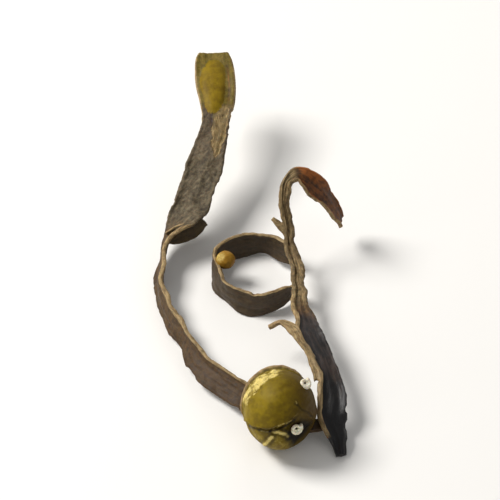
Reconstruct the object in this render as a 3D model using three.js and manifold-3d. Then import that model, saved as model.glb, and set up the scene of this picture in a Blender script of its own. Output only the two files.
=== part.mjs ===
// A dried, cut piece of bladderwrack: one forked frond with its air bladder in the fork.
// Millimetres, +Z up. It lies on a flat surface at z = 0, its origin under the middle of its box.
// The cut base is at the front right, and the far tip points along +Y.
import * as THREE from "three";
import { mergeVertices } from "three/addons/utils/BufferGeometryUtils.js";
import Module from "manifold-3d";

// The frond's middle in the plane of the surface, which the origin is moved to
const MIDDLE = new THREE.Vector3(-3.32, 24.72, 0);

// Blades: thickness of the dried blade, the midrib's share of its width, where across it the left margin
// starts to curl (0 is the midrib, 1 the margin), the grid across it, and the tension of its curves
const BLADE_THICK = 0.62;
const MIDRIB_WIDTH = 0.24;
const CURL_START = 0.45;
const ACROSS_STEPS = 6;
const CURVE_TENSION = 0.5;

// The margins' long and short waves along a blade, and how far out of step its two margins are
const LONG_WAVE = 8.3;
const SHORT_WAVE = 5.1;
const WAVE_HEIGHT = 0.16;
const MARGIN_PHASE = 1.3;

// The round air bladder in the fork. Places on its skin are told by how far they are to the right of its
// middle, up, and forward, where up and forward each lean 45 degrees.
const BLADDER_CENTRE = new THREE.Vector3(0.28, -1.15, 4.8);
const BLADDER_RADII = new THREE.Vector3(4.45, 4.85, 4.85);
const BLADDER_AROUND = 64;
const BLADDER_HIGH = 26;
const RAISED = new THREE.Vector3(0, 1, 1).normalize();
const FACING = new THREE.Vector3(0, -1, 1).normalize();

// The crease across the bladder's front: a bow, with a lip above it, a groove, and a sunken skin below it
const CREASE_LOW = -2.35;
const CREASE_BOW = 0.13;
const CREASE_TURN = -1.6;
const CREASE_ENDS = [1.4, 2.4];
const FRONT_BLEND = [-1, 0.4];
const LIP_HEIGHT = 0.12;
const LIP_WIDTH = 0.5;
const GROOVE_DEPTH = 0.4;
const GROOVE_WIDTH = 0.42;
const FOLD_DEPTH = 0.4;
const FOLD_START = 0.6;
const FOLD_END = 2.2;

// The dent where the bladder's right side has collapsed
const DENT_RIGHT = 2.7;
const DENT_UP = -2.9;
const DENT_REACH = 1.9;
const DENT_DEPTH = 1.0;

// The thin margin that stands round the bladder's upper left: how far it starts under the skin and ends
// above it, its setback from the plane through the bladder's middle, and the arc that it covers
const RIM_SUNK = 1.0;
const RIM_REACH = 0.65;
const RIM_SETBACK = 0.5;
const RIM_FROM_DEGREES = 35;
const RIM_TO_DEGREES = 205;
const RIM_TAPER = 0.2;
const RIM_STEPS = 20;

// The long flat air bladder near the far tip, and the small amber one inside the loop. The steps of a
// swelling are those around it and those from pole to pole.
const TIP_BLADDER_CENTRE = new THREE.Vector3(-7.85, 50.0, 9.45);
const TIP_BLADDER_RADII = new THREE.Vector3(1.8, 4.4, 0.85);
const TIP_BLADDER_TILT_DEGREES = 11;
const TIP_BLADDER_TAPER = 0.2;
const TIP_BLADDER_STEPS = [20, 12];
const BUD_CENTRE = new THREE.Vector3(-6.35, 25.8, 3.3);
const BUD_RADII = new THREE.Vector3(1.25, 1.2, 1.15);
const BUD_STEPS = [12, 8];

// Coiled worm shells cemented on the frond: the coil's radius, the tube's, and the steps round the tube
// and along it
const SHELL_RADIUS = 0.6;
const SHELL_TUBE = 0.31;
const SHELL_STEPS = [6, 12];

// The block under the surface that is cut away from the frond
const BLOCK_SIZE = 100;
const BLOCK_DEPTH = 10;

// Points nearer than this are one point
const WELD_DISTANCE = 1e-5;

// A blade is a list of stations: x, y, z of its middle, its width, the turn of its face about its run,
// the roll of its section, the curl of its left margin (three angles in degrees), and the midrib's height.
const STRAP = [
  [7.7, -4.5, 0.3, 1.4, 0, 15, 0, 0.4],
  [7.35, -2.6, 1.1, 2.3, -4, 20, 20, 0.4],
  [6.45, -0.5, 2.2, 4.0, -8, 25, 60, 0.3],
  [6.6, 2.4, 3.2, 3.7, -10, 25, 90, 0.2],
  [6.0, 5.3, 3.9, 3.6, -12, 20, 100, 0.15],
  [5.1, 8.4, 4.3, 3.6, -12, 20, 100, 0.15],
  [3.95, 11.6, 4.3, 3.6, -8, 30, 80, 0.2],
  [3.2, 14.8, 3.9, 3.1, -4, 80, 40, 0.3],
  [2.8, 17.8, 3.4, 2.3, 0, 150, 10, 0.35],
  [2.6, 21.8, 3.2, 2.0, 4, 165, 0, 0.35],
  [2.2, 25.0, 3.8, 1.8, 6, 165, 0, 0.35],
  [1.6, 27.5, 5.0, 1.5, 6, 155, 0, 0.3],
  [1.1, 29.3, 7.0, 1.3, 4, 145, 0, 0.3],
  [0.9, 30.6, 9.2, 1.3, 0, 135, 0, 0.3],
  [1.3, 31.5, 10.9, 1.5, -6, 115, 0, 0.3],
  [2.4, 32.0, 11.8, 2.1, -14, 80, 0, 0.25],
  [3.6, 31.9, 11.3, 2.7, -26, 50, 0, 0.2],
  [4.9, 31.8, 9.9, 3.0, -34, 40, 0, 0.2],
  [6.1, 32.0, 7.7, 3.0, -36, 40, 0, 0.2],
  [7.1, 32.3, 5.4, 2.7, -34, 45, 0, 0.2],
  [7.8, 32.6, 3.2, 2.1, -30, 55, 0, 0.2],
];

const RIBBON = [
  [6.1, -0.6, 1.9, 2.0, 0, 10, 0, 0.2],
  [4.0, -0.9, 1.7, 2.4, 5, 10, 0, 0.2],
  [1.5, -0.4, 1.4, 2.8, 15, 10, 0, 0.2],
  [-0.6, 0.8, 1.5, 3.2, 24, 10, 0, 0.2],
  [-2.4, 2.2, 1.75, 3.4, 32, 15, 0, 0.2],
  [-4.3, 3.9, 2.0, 3.5, 36, 25, 0, 0.25],
  [-6.4, 5.8, 2.0, 3.5, 36, 30, 0, 0.25],
  [-8.4, 7.8, 1.9, 3.4, 38, 30, 0, 0.25],
  [-9.9, 10.2, 1.8, 3.1, 46, 40, 0, 0.25],
  [-10.8, 13.0, 1.7, 3.0, 60, 40, 0, 0.25],
  [-12.3, 16.1, 1.6, 3.1, 68, 30, 0, 0.25],
  [-13.7, 19.4, 1.6, 3.3, 72, 25, 0, 0.25],
  [-14.3, 23.3, 1.65, 3.5, 76, 20, 0, 0.25],
  [-14.1, 26.9, 1.9, 3.5, 76, 20, 0, 0.25],
  [-13.6, 29.6, 2.6, 3.6, 64, 20, 0, 0.25],
  [-12.2, 31.6, 3.4, 4.8, 36, 20, 20, 0.2],
  [-10.8, 33.7, 4.2, 5.0, 12, 25, 30, 0.15],
  [-9.8, 36.3, 5.0, 4.9, 6, 25, 20, 0.15],
  [-9.0, 39.3, 6.0, 4.8, 4, 20, 0, 0.15],
  [-8.2, 42.1, 7.1, 4.3, 4, 20, 0, 0.2],
  [-7.6, 44.7, 8.1, 3.7, 4, 15, 0, 0.25],
  [-7.4, 47.1, 8.8, 4.2, 4, 10, 0, 0.15],
  [-7.5, 49.6, 9.4, 4.9, 2, 10, 0, 0.1],
  [-7.7, 52.0, 9.8, 5.0, 0, 10, 0, 0.1],
  [-7.85, 53.9, 10.1, 4.7, 0, 10, 0, 0.1],
  [-7.9, 55.2, 10.3, 3.9, 0, 10, 0, 0.1],
];

const LOOP = [
  [1.6, 27.5, 2.5, 3.0, 84, 10, 0, 0.2],
  [-0.4, 29.4, 2.1, 3.4, 86, 10, 0, 0.2],
  [-2.0, 30.1, 1.9, 3.5, 84, 10, 0, 0.2],
  [-3.6, 30.0, 1.8, 3.5, 80, 10, 0, 0.2],
  [-5.2, 29.6, 1.7, 3.5, 80, 10, 0, 0.2],
  [-6.6, 28.8, 1.7, 3.5, 84, 10, 0, 0.2],
  [-7.5, 27.5, 1.7, 3.5, 88, 10, 0, 0.2],
  [-7.75, 25.8, 1.7, 3.5, 90, 10, 0, 0.2],
  [-7.3, 23.8, 1.7, 3.5, 94, 10, 0, 0.2],
  [-6.2, 21.8, 1.7, 3.5, 98, 10, 0, 0.2],
  [-4.4, 20.2, 1.7, 3.5, 100, 10, 0, 0.2],
  [-2.4, 19.6, 1.7, 3.5, 98, 10, 0, 0.2],
  [-0.5, 20.1, 1.8, 3.4, 94, 10, 0, 0.2],
  [1.2, 21.2, 2, 3.0, 90, 10, 0, 0.2],
  [2.5, 22.2, 2.4, 2.2, 90, 10, 0, 0.2],
];

// The fold of the blade's near margin that hangs at the corner
const CORNER_FOLD = [
  [-13.6, 29.9, 3.0, 1.7, -50, 20, 0, 0],
  [-12.4, 30.3, 3.1, 2.4, -50, 25, 0, 0],
  [-11.1, 30.8, 3.3, 2.6, -50, 30, 0, 0],
  [-9.9, 31.4, 3.7, 2.3, -45, 30, 0, 0],
  [-8.9, 31.9, 4.1, 1.5, -40, 20, 0, 0],
];

const TORN_FLAP = [
  [4.8, 4.2, 4.2, 0.7, -10, 20, 0, 0],
  [3.9, 7.6, 5.0, 0.9, -10, 20, 0, 0],
  [2.9, 9.8, 5.2, 1.1, -10, 20, 0, 0],
  [1.9, 12.0, 5.2, 1.3, -10, 20, 0, 0],
  [0.5, 13.5, 4.9, 1.1, -5, 20, 0, 0],
  [-1.0, 13.3, 4.2, 0.7, 0, 20, 0, 0],
];

const SPUR = [
  [1.3, 28.2, 5.6, 1.4, 40, 10, 0, 0],
  [0.2, 28.8, 6.5, 1.0, 40, 10, 0, 0],
  [-0.6, 29.3, 7.0, 0.6, 40, 10, 0, 0],
];

// Every blade with its steps from one station to the next, and the phase of its waves
const BLADES = [
  { stations: STRAP, stepsPerStation: 3, wavePhase: 0 },
  { stations: RIBBON, stepsPerStation: 3, wavePhase: 1.1 },
  { stations: LOOP, stepsPerStation: 2, wavePhase: 2.3 },
  { stations: CORNER_FOLD, stepsPerStation: 2, wavePhase: 0.2 },
  { stations: TORN_FLAP, stepsPerStation: 3, wavePhase: 0.4 },
  { stations: SPUR, stepsPerStation: 2, wavePhase: 0.9 },
];

// Where each worm shell sits, and the direction that its coil faces
const SHELLS = [
  { at: [3.18, -0.27, 8.36], faces: [0.5, -0.3, 0.81] },
  { at: [2.14, -4.46, 5.08], faces: [0.45, -0.82, 0.35] },
];

const wasm = await Module();
wasm.setup();

// Turns a closed geometry into a solid that can be joined and cut
function solid(geometry) {
  const bare = geometry.index ? geometry.clone() : mergeVertices(geometry.clone());
  bare.deleteAttribute("normal");
  bare.deleteAttribute("uv");
  const merged = mergeVertices(bare, WELD_DISTANCE);
  return new wasm.Manifold(new wasm.Mesh({
    numProp: 3,
    vertProperties: new Float32Array(merged.attributes.position.array),
    triVerts: new Uint32Array(merged.index.array),
  }));
}

// Columns of the stations as smooth curves, all read at the same place along the blade
function columns(stations, first) {
  const points = stations.map((row) => new THREE.Vector3(row[first], row[first + 1], row[first + 2] ?? 0));
  return new THREE.CatmullRomCurve3(points, false, "catmullrom", CURVE_TENSION);
}

// One cross section of a blade: its middle line and normals, from the left margin to the right one
function crossSection(middle, across, face, width, roll, lip) {
  const half = ACROSS_STEPS / 2;
  const step = width / ACROSS_STEPS;
  const curl = (u) => Math.max(0, -u - CURL_START) / (1 - CURL_START);
  const angle = (u) => 0.5 * roll * u - lip * curl(u);
  const along = (a) => across.clone().multiplyScalar(Math.cos(a)).addScaledVector(face, Math.sin(a));
  const normal = (a) => face.clone().multiplyScalar(Math.cos(a)).addScaledVector(across, -Math.sin(a));
  const line = [];
  line.push({ u: 0, point: middle.clone(), normal: face.clone() });
  for (const side of [-1, 1]) {
    const point = middle.clone();
    for (let k = 0; k < half; k++) {
      const a = angle((side * (k + 0.5)) / half);
      point.addScaledVector(along(a), side * step);
      line.push({ u: (side * (k + 1)) / half, point: point.clone(), normal: normal(a) });
    }
  }
  return line.sort((a, b) => a.u - b.u);
}

// A closed body from rings of points, each quad cut by the same diagonal on both faces
function closedBody(rings) {
  const count = rings[0].length;
  const rowSize = count / 2;
  const positions = rings.flat().flatMap((p) => p.toArray());
  const index = [];
  for (let i = 0; i + 1 < rings.length; i++) {
    for (let k = 0; k < count; k++) {
      const a = i * count + k;
      const b = i * count + ((k + 1) % count);
      const c = a + count;
      const d = b + count;
      if (k < rowSize) index.push(a, b, d, a, d, c);
      else index.push(a, b, c, b, d, c);
    }
  }
  const last = (rings.length - 1) * count;
  for (let k = 0; k + 1 < rowSize; k++) {
    const under = count - 1 - k;
    index.push(k, under, k + 1, k + 1, under, under - 1);
    index.push(last + k, last + k + 1, last + under, last + k + 1, last + under - 1, last + under);
  }
  const geometry = new THREE.BufferGeometry();
  geometry.setAttribute("position", new THREE.Float32BufferAttribute(positions, 3));
  geometry.setIndex(index);
  return geometry;
}

// A blade carried along its stations, with a midrib on both faces and waved margins
function blade({ stations, stepsPerStation, wavePhase }) {
  const place = columns(stations, 0);
  const shape = columns(stations, 3);
  const relief = columns(stations, 6);
  const steps = (stations.length - 1) * stepsPerStation;
  const length = place.getLength();
  const rings = [];
  for (let i = 0; i <= steps; i++) {
    const t = i / steps;
    const middle = place.getPoint(t);
    const run = place.getTangent(t);
    const [width, turn, roll] = shape.getPoint(t).toArray();
    const [lip, rib] = relief.getPoint(t).toArray();
    const level = new THREE.Vector3().crossVectors(run, new THREE.Vector3(0, 0, 1)).normalize();
    const upright = new THREE.Vector3().crossVectors(level, run);
    const turned = THREE.MathUtils.degToRad(turn);
    const across = level.multiplyScalar(Math.cos(turned)).addScaledVector(upright, Math.sin(turned));
    const face = new THREE.Vector3().crossVectors(across, run);
    const rolled = THREE.MathUtils.degToRad(roll);
    const curled = THREE.MathUtils.degToRad(lip);
    const section = crossSection(middle, across, face, width, rolled, curled);
    const turns = 2 * Math.PI * length * t;
    const top = [];
    const bottom = [];
    for (const { u, point, normal } of section) {
      const phase = wavePhase + MARGIN_PHASE * Math.sign(u);
      const waves = Math.sin(turns / LONG_WAVE + phase) + Math.sin(turns / SHORT_WAVE - phase);
      const wave = WAVE_HEIGHT * u * u * waves;
      const half = 0.5 * BLADE_THICK + 0.5 * rib * Math.exp(-((u / MIDRIB_WIDTH) ** 2));
      top.push(point.clone().addScaledVector(normal, wave + half));
      bottom.unshift(point.clone().addScaledVector(normal, wave - half));
    }
    rings.push([...top, ...bottom]);
  }
  return solid(closedBody(rings));
}

// A swelling of the frond: a sphere pulled to its three radii, wider towards +Y by its taper
function swelling(centre, radii, steps, taper = 0, tiltDegrees = 0) {
  const ball = new THREE.SphereGeometry(1, ...steps);
  const place = ball.attributes.position;
  const spot = new THREE.Vector3();
  for (let i = 0; i < place.count; i++) {
    spot.fromBufferAttribute(place, i);
    const widening = 1 + taper * spot.y;
    spot.multiply(radii);
    place.setXYZ(i, spot.x * widening, spot.y, spot.z);
  }
  ball.rotateX(THREE.MathUtils.degToRad(tiltDegrees));
  ball.translate(centre.x, centre.y, centre.z);
  return solid(ball);
}

// How far the bladder's skin stands out from its oval, from its place to the right, up and forward
function bladderRelief(right, up, forward) {
  const { smoothstep } = THREE.MathUtils;
  const above = up - CREASE_LOW - CREASE_BOW * (right - CREASE_TURN) ** 2;
  const lip = LIP_HEIGHT * Math.exp(-(((above - LIP_WIDTH) / LIP_WIDTH) ** 2));
  const groove = GROOVE_DEPTH * Math.exp(-((above / GROOVE_WIDTH) ** 2));
  const sunken = smoothstep(-above, 0, FOLD_START) * (1 - smoothstep(-above, FOLD_START, FOLD_END));
  const crease = lip - groove - FOLD_DEPTH * sunken;
  const fromDent = Math.hypot(right - DENT_RIGHT, up - DENT_UP) / DENT_REACH;
  const dent = DENT_DEPTH * Math.exp(-(fromDent ** 4));
  return (crease * (1 - smoothstep(right, ...CREASE_ENDS)) - dent) * smoothstep(forward, ...FRONT_BLEND);
}

// The round air bladder: an oval ball with its crease and its dent. Its poles are left and right, so that
// the rows of its grid run along the crease.
function bladder() {
  const ball = new THREE.SphereGeometry(1, BLADDER_AROUND, BLADDER_HIGH);
  ball.rotateZ(Math.PI / 2);
  const place = ball.attributes.position;
  const spot = new THREE.Vector3();
  for (let i = 0; i < place.count; i++) {
    spot.fromBufferAttribute(place, i).multiply(BLADDER_RADII);
    const relief = bladderRelief(spot.x, spot.dot(RAISED), spot.dot(FACING));
    spot.setLength(spot.length() + relief);
    place.setXYZ(i, spot.x, spot.y, spot.z);
  }
  ball.translate(BLADDER_CENTRE.x, BLADDER_CENTRE.y, BLADDER_CENTRE.z);
  return solid(ball);
}

// The thin margin of the blade that stands round the bladder's upper left: an arc that faces up and forward
function rim() {
  const front = 0.5 * BLADE_THICK - RIM_SETBACK;
  const back = -0.5 * BLADE_THICK - RIM_SETBACK;
  const rings = [];
  for (let i = 0; i <= RIM_STEPS; i++) {
    const share = i / RIM_STEPS;
    const angle = THREE.MathUtils.degToRad(THREE.MathUtils.lerp(RIM_FROM_DEGREES, RIM_TO_DEGREES, share));
    const outward = new THREE.Vector3(Math.cos(angle), 0, 0).addScaledVector(RAISED, Math.sin(angle));
    const skin = 1 / outward.clone().divide(BLADDER_RADII).length();
    const inner = skin - RIM_SUNK;
    const outer = THREE.MathUtils.lerp(inner, skin + RIM_REACH, Math.sin(Math.PI * share) ** RIM_TAPER);
    const corner = (reach, height) => BLADDER_CENTRE.clone()
      .addScaledVector(outward, reach)
      .addScaledVector(FACING, height);
    rings.push([corner(inner, front), corner(outer, front), corner(outer, back), corner(inner, back)]);
  }
  return solid(closedBody(rings));
}

// One coiled worm shell: a ring of tube, half sunk in the frond
function shell({ at, faces }) {
  const coil = new THREE.TorusGeometry(SHELL_RADIUS, SHELL_TUBE, ...SHELL_STEPS);
  const towards = new THREE.Vector3(...faces).normalize();
  coil.applyQuaternion(new THREE.Quaternion().setFromUnitVectors(new THREE.Vector3(0, 0, 1), towards));
  coil.translate(...at);
  return solid(coil);
}

// Everything below the surface is cut away, which leaves the small flat spots that the frond rests on
function restOnSurface(body) {
  const below = new THREE.BoxGeometry(BLOCK_SIZE, BLOCK_SIZE, BLOCK_DEPTH);
  below.translate(MIDDLE.x, MIDDLE.y, -0.5 * BLOCK_DEPTH);
  return body.subtract(solid(below));
}

// The long flat air bladder, which swells out of the blade near its far tip
function tipBladder() {
  return swelling(
    TIP_BLADDER_CENTRE,
    TIP_BLADDER_RADII,
    TIP_BLADDER_STEPS,
    TIP_BLADDER_TAPER,
    TIP_BLADDER_TILT_DEGREES,
  );
}

function frond() {
  const pieces = [
    ...BLADES.map(blade),
    bladder(),
    tipBladder(),
    swelling(BUD_CENTRE, BUD_RADII, BUD_STEPS),
    rim(),
    ...SHELLS.map(shell),
  ];
  const whole = pieces.reduce((body, piece) => body.add(piece));
  const mesh = restOnSurface(whole).getMesh();
  const geometry = new THREE.BufferGeometry();
  geometry.setAttribute("position", new THREE.BufferAttribute(mesh.vertProperties, mesh.numProp));
  geometry.setIndex(new THREE.BufferAttribute(mesh.triVerts, 1));
  geometry.translate(-MIDDLE.x, -MIDDLE.y, 0);
  return geometry;
}

const driedFrond = new THREE.MeshStandardMaterial({ color: 0x4a4032, roughness: 0.62, metalness: 0 });

const piece = new THREE.Mesh(frond(), driedFrond);
piece.name = "frond";

const bladderwrack = new THREE.Group();
bladderwrack.add(piece);

export default bladderwrack;
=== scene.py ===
"""A dried bladderwrack frond piece, dressed: one forked blade with its olive air bladder in the fork.

The shapes are worked out in millimetres from the same stations as the part's source, and put into the
meshes in metres. Every blade is a grid of length along the blade by distance round its section.
"""
import math

import bpy
import numpy as np
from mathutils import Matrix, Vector
from mathutils.kdtree import KDTree


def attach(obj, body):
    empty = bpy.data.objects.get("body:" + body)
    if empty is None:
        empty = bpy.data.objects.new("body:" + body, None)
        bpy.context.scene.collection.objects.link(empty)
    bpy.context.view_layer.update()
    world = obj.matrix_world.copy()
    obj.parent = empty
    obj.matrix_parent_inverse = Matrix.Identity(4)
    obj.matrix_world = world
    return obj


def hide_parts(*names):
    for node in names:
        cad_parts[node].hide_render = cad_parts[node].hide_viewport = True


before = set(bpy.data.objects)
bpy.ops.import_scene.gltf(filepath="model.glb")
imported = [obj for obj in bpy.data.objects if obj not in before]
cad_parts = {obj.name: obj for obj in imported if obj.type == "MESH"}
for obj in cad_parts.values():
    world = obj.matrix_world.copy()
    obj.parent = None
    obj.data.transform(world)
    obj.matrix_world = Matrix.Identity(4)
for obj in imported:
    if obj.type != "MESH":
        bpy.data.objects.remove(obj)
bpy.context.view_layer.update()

# A millimetre in metres, and the frond's middle as seen from above, which becomes the origin
MM = 0.001
MIDDLE = np.array([-3.32, 24.72, 0.0])

# Blades: half thickness of the dried blade, the grid cell that it is drawn with, the midrib's share of the
# width and how much of its height stands out on each face, and where the left margin starts to curl
BLADE_HALF = 0.2
CELL = 0.15
MIDRIB_WIDTH = 0.24
MIDRIB_OUT = 0.45
CURL_START = 0.45

# The margins' long and short waves, how far out of step the two margins are, and the grey blade's crinkles
LONG_WAVE = 8.3
SHORT_WAVE = 5.1
WAVE_HEIGHT = 0.16
MARGIN_PHASE = 1.3
CRINKLE = 0.19

# The outer edge of a blade: where it starts to round off, how far its ragged margin is set back, and the
# least that is left of its thickness
EDGE_START = 0.86
MARGIN_SETBACK = 0.06
EDGE_LEAST = 0.02
SKIN_LEAST = 0.03

# Points that a middle line is measured at, the step that its direction is read over, and the fewest cells
# along a blade and across half of it
CURVE_SAMPLES = 400
RUN_STEP = 1e-3
FEWEST_ALONG = 8
FEWEST_ACROSS = 5

# Stations of each blade, as in the part's source, in millimetres and degrees: x, y, z, width, turn, roll,
# left margin's curl, midrib
STRAP = [
    [7.7, -4.5, 0.3, 1.4, 0, 15, 0, 0.4],
    [7.35, -2.6, 1.1, 2.3, -4, 20, 20, 0.4],
    [6.45, -0.5, 2.2, 4.0, -8, 25, 60, 0.3],
    [6.6, 2.4, 3.2, 3.7, -10, 25, 90, 0.2],
    [6.0, 5.3, 3.9, 3.6, -12, 20, 100, 0.15],
    [5.1, 8.4, 4.3, 3.6, -12, 20, 100, 0.15],
    [3.95, 11.6, 4.3, 3.6, -8, 30, 80, 0.2],
    [3.2, 14.8, 3.9, 3.1, -4, 80, 40, 0.3],
    [2.8, 17.8, 3.4, 2.3, 0, 150, 10, 0.35],
    [2.6, 21.8, 3.2, 2.0, 4, 165, 0, 0.35],
    [2.2, 25.0, 3.8, 1.8, 6, 165, 0, 0.35],
    [1.6, 27.5, 5.0, 1.5, 6, 155, 0, 0.3],
    [1.1, 29.3, 7.0, 1.3, 4, 145, 0, 0.3],
    [0.9, 30.6, 9.2, 1.3, 0, 135, 0, 0.3],
    [1.3, 31.5, 10.9, 1.5, -6, 115, 0, 0.3],
    [2.4, 32.0, 11.8, 2.1, -14, 80, 0, 0.25],
    [3.6, 31.9, 11.3, 2.7, -26, 50, 0, 0.2],
    [4.9, 31.8, 9.9, 3.0, -34, 40, 0, 0.2],
    [6.1, 32.0, 7.7, 3.0, -36, 40, 0, 0.2],
    [7.1, 32.3, 5.4, 2.7, -34, 45, 0, 0.2],
    [7.8, 32.6, 3.2, 2.1, -30, 55, 0, 0.2],
]
RIBBON = [
    [6.1, -0.6, 1.9, 2.0, 0, 10, 0, 0.2],
    [4.0, -0.9, 1.7, 2.4, 5, 10, 0, 0.2],
    [1.5, -0.4, 1.4, 2.8, 15, 10, 0, 0.2],
    [-0.6, 0.8, 1.5, 3.2, 24, 10, 0, 0.2],
    [-2.4, 2.2, 1.75, 3.4, 32, 15, 0, 0.2],
    [-4.3, 3.9, 2.0, 3.5, 36, 25, 0, 0.25],
    [-6.4, 5.8, 2.0, 3.5, 36, 30, 0, 0.25],
    [-8.4, 7.8, 1.9, 3.4, 38, 30, 0, 0.25],
    [-9.9, 10.2, 1.8, 3.1, 46, 40, 0, 0.25],
    [-10.8, 13.0, 1.7, 3.0, 60, 40, 0, 0.25],
    [-12.3, 16.1, 1.6, 3.1, 68, 30, 0, 0.25],
    [-13.7, 19.4, 1.6, 3.3, 72, 25, 0, 0.25],
    [-14.3, 23.3, 1.65, 3.5, 76, 20, 0, 0.25],
    [-14.1, 26.9, 1.9, 3.5, 76, 20, 0, 0.25],
    [-13.6, 29.6, 2.6, 3.6, 64, 20, 0, 0.25],
    [-12.2, 31.6, 3.4, 4.8, 36, 20, 20, 0.2],
    [-10.8, 33.7, 4.2, 5.0, 12, 25, 30, 0.15],
    [-9.8, 36.3, 5.0, 4.9, 6, 25, 20, 0.15],
    [-9.0, 39.3, 6.0, 4.8, 4, 20, 0, 0.15],
    [-8.2, 42.1, 7.1, 4.3, 4, 20, 0, 0.2],
    [-7.6, 44.7, 8.1, 3.7, 4, 15, 0, 0.25],
    [-7.4, 47.1, 8.8, 4.2, 4, 10, 0, 0.15],
    [-7.5, 49.6, 9.4, 4.9, 2, 10, 0, 0.1],
    [-7.7, 52.0, 9.8, 5.0, 0, 10, 0, 0.1],
    [-7.85, 53.9, 10.1, 4.7, 0, 10, 0, 0.1],
    [-7.9, 55.2, 10.3, 3.9, 0, 10, 0, 0.1],
]
LOOP = [
    [1.6, 27.5, 2.5, 3.0, 84, 10, 0, 0.2],
    [-0.4, 29.4, 2.1, 3.4, 86, 10, 0, 0.2],
    [-2.0, 30.1, 1.9, 3.5, 84, 10, 0, 0.2],
    [-3.6, 30.0, 1.8, 3.5, 80, 10, 0, 0.2],
    [-5.2, 29.6, 1.7, 3.5, 80, 10, 0, 0.2],
    [-6.6, 28.8, 1.7, 3.5, 84, 10, 0, 0.2],
    [-7.5, 27.5, 1.7, 3.5, 88, 10, 0, 0.2],
    [-7.75, 25.8, 1.7, 3.5, 90, 10, 0, 0.2],
    [-7.3, 23.8, 1.7, 3.5, 94, 10, 0, 0.2],
    [-6.2, 21.8, 1.7, 3.5, 98, 10, 0, 0.2],
    [-4.4, 20.2, 1.7, 3.5, 100, 10, 0, 0.2],
    [-2.4, 19.6, 1.7, 3.5, 98, 10, 0, 0.2],
    [-0.5, 20.1, 1.8, 3.4, 94, 10, 0, 0.2],
    [1.2, 21.2, 2, 3.0, 90, 10, 0, 0.2],
    [2.5, 22.2, 2.4, 2.2, 90, 10, 0, 0.2],
]
CORNER_FOLD = [
    [-13.6, 29.9, 3.0, 1.7, -50, 20, 0, 0],
    [-12.4, 30.3, 3.1, 2.4, -50, 25, 0, 0],
    [-11.1, 30.8, 3.3, 2.6, -50, 30, 0, 0],
    [-9.9, 31.4, 3.7, 2.3, -45, 30, 0, 0],
    [-8.9, 31.9, 4.1, 1.5, -40, 20, 0, 0],
]
TORN_FLAP = [
    [4.8, 4.2, 4.2, 0.7, -10, 20, 0, 0],
    [3.9, 7.6, 5.0, 0.9, -10, 20, 0, 0],
    [2.9, 9.8, 5.2, 1.1, -10, 20, 0, 0],
    [1.9, 12.0, 5.2, 1.3, -10, 20, 0, 0],
    [0.5, 13.5, 4.9, 1.1, -5, 20, 0, 0],
    [-1.0, 13.3, 4.2, 0.7, 0, 20, 0, 0],
]
SPUR = [
    [1.3, 28.2, 5.6, 1.4, 40, 10, 0, 0],
    [0.2, 28.8, 6.5, 1.0, 40, 10, 0, 0],
    [-0.6, 29.3, 7.0, 0.6, 40, 10, 0, 0],
]

# The round bladder: its oval, the crease with its lip, groove and fold, and the dent at the lower right
BLADDER_CENTRE = np.array([0.28, -1.15, 4.8])
BLADDER_RADII = np.array([4.42, 4.82, 4.82])
BLADDER_CELLS = 68
CREASE_LOW = -2.35
CREASE_BOW = 0.13
CREASE_TURN = -1.6
CREASE_ENDS = (1.4, 2.4)
LIP_HEIGHT = 0.12
GROOVE_DEPTH = 0.45
FOLD_DEPTH = 0.4
DENT_RIGHT = 2.7
DENT_UP = -2.9
DENT_REACH = 1.9
DENT_DEPTH = 1.0

# The thin rim round it
RIM_SUNK = 1.0
RIM_REACH = 0.6
RIM_SETBACK = 0.5
RIM_HALF = 0.15
RIM_RAGGED = 0.07
RIM_WAVE = 0.16
RIM_FROM_DEGREES = 35
RIM_TO_DEGREES = 205
RIM_TAPER = 0.2

# The two small bladders
TIP_BLADDER_CENTRE = np.array([-7.85, 50.0, 9.4])
TIP_BLADDER_RADII = np.array([1.75, 4.3, 0.8])
TIP_BLADDER_TILT_DEGREES = 11
TIP_BLADDER_TAPER = 0.2
TIP_BLADDER_CELLS = 26
BUD_CENTRE = np.array([-6.35, 25.8, 3.3])
BUD_RADII = np.array([1.2, 1.15, 1.1])
BUD_CELLS = 18
WIDENING_ROUNDS = 6

# Worm shells: the spiral's radius, the tube's half width and how far its middle line stands off the bladder,
# each at the spiral's middle and as its gain up to the mouth; then its turns and its growth rings
SHELL_RADIUS = 0.18
SHELL_RADIUS_GAIN = 0.45
SHELL_TUBE = 0.1
SHELL_TUBE_GAIN = 0.21
SHELL_STAND = 0.24
SHELL_STAND_GAIN = -0.06
SHELL_TURNS = 1.6
RINGS_A_TURN = 11
RING_DEPTH = 0.04
SHELLS = [
    {"at": (3.18, -0.27, 8.36), "faces": (0.5, -0.3, 0.81)},
    {"at": (2.14, -4.46, 5.08), "faces": (0.45, -0.82, 0.35)},
]

UP_IN_VIEW = np.array([0.0, 1.0, 1.0]) / math.sqrt(2)
TO_VIEWER = np.array([0.0, -1.0, 1.0]) / math.sqrt(2)


# Smooth noise and curves

# How many random numbers there are, the factors that pick one for a corner, and the shift of each layer
NOISE_TABLE = 4096
NOISE_FACTORS = (73856093, 19349663, 83492791)
LAYER_SHIFT = 17.3


def lattice_noise(points, seed):
    """Value noise from -1 to 1: a random number on each whole-numbered corner of space, eased between."""
    table = np.random.default_rng(seed).uniform(-1.0, 1.0, NOISE_TABLE)
    points = np.asarray(points, dtype=float)
    cell = np.floor(points).astype(np.int64)
    part = points - cell
    ease = part * part * (3.0 - 2.0 * part)
    total = np.zeros(points.shape[:-1])
    for corner in np.ndindex(2, 2, 2):
        x, y, z = np.moveaxis((cell + np.array(corner)) * NOISE_FACTORS, -1, 0)
        weight = np.ones(points.shape[:-1])
        for axis in range(3):
            weight = weight * (ease[..., axis] if corner[axis] else 1.0 - ease[..., axis])
        total = total + weight * table[(x ^ y ^ z) % NOISE_TABLE]
    return total


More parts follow.
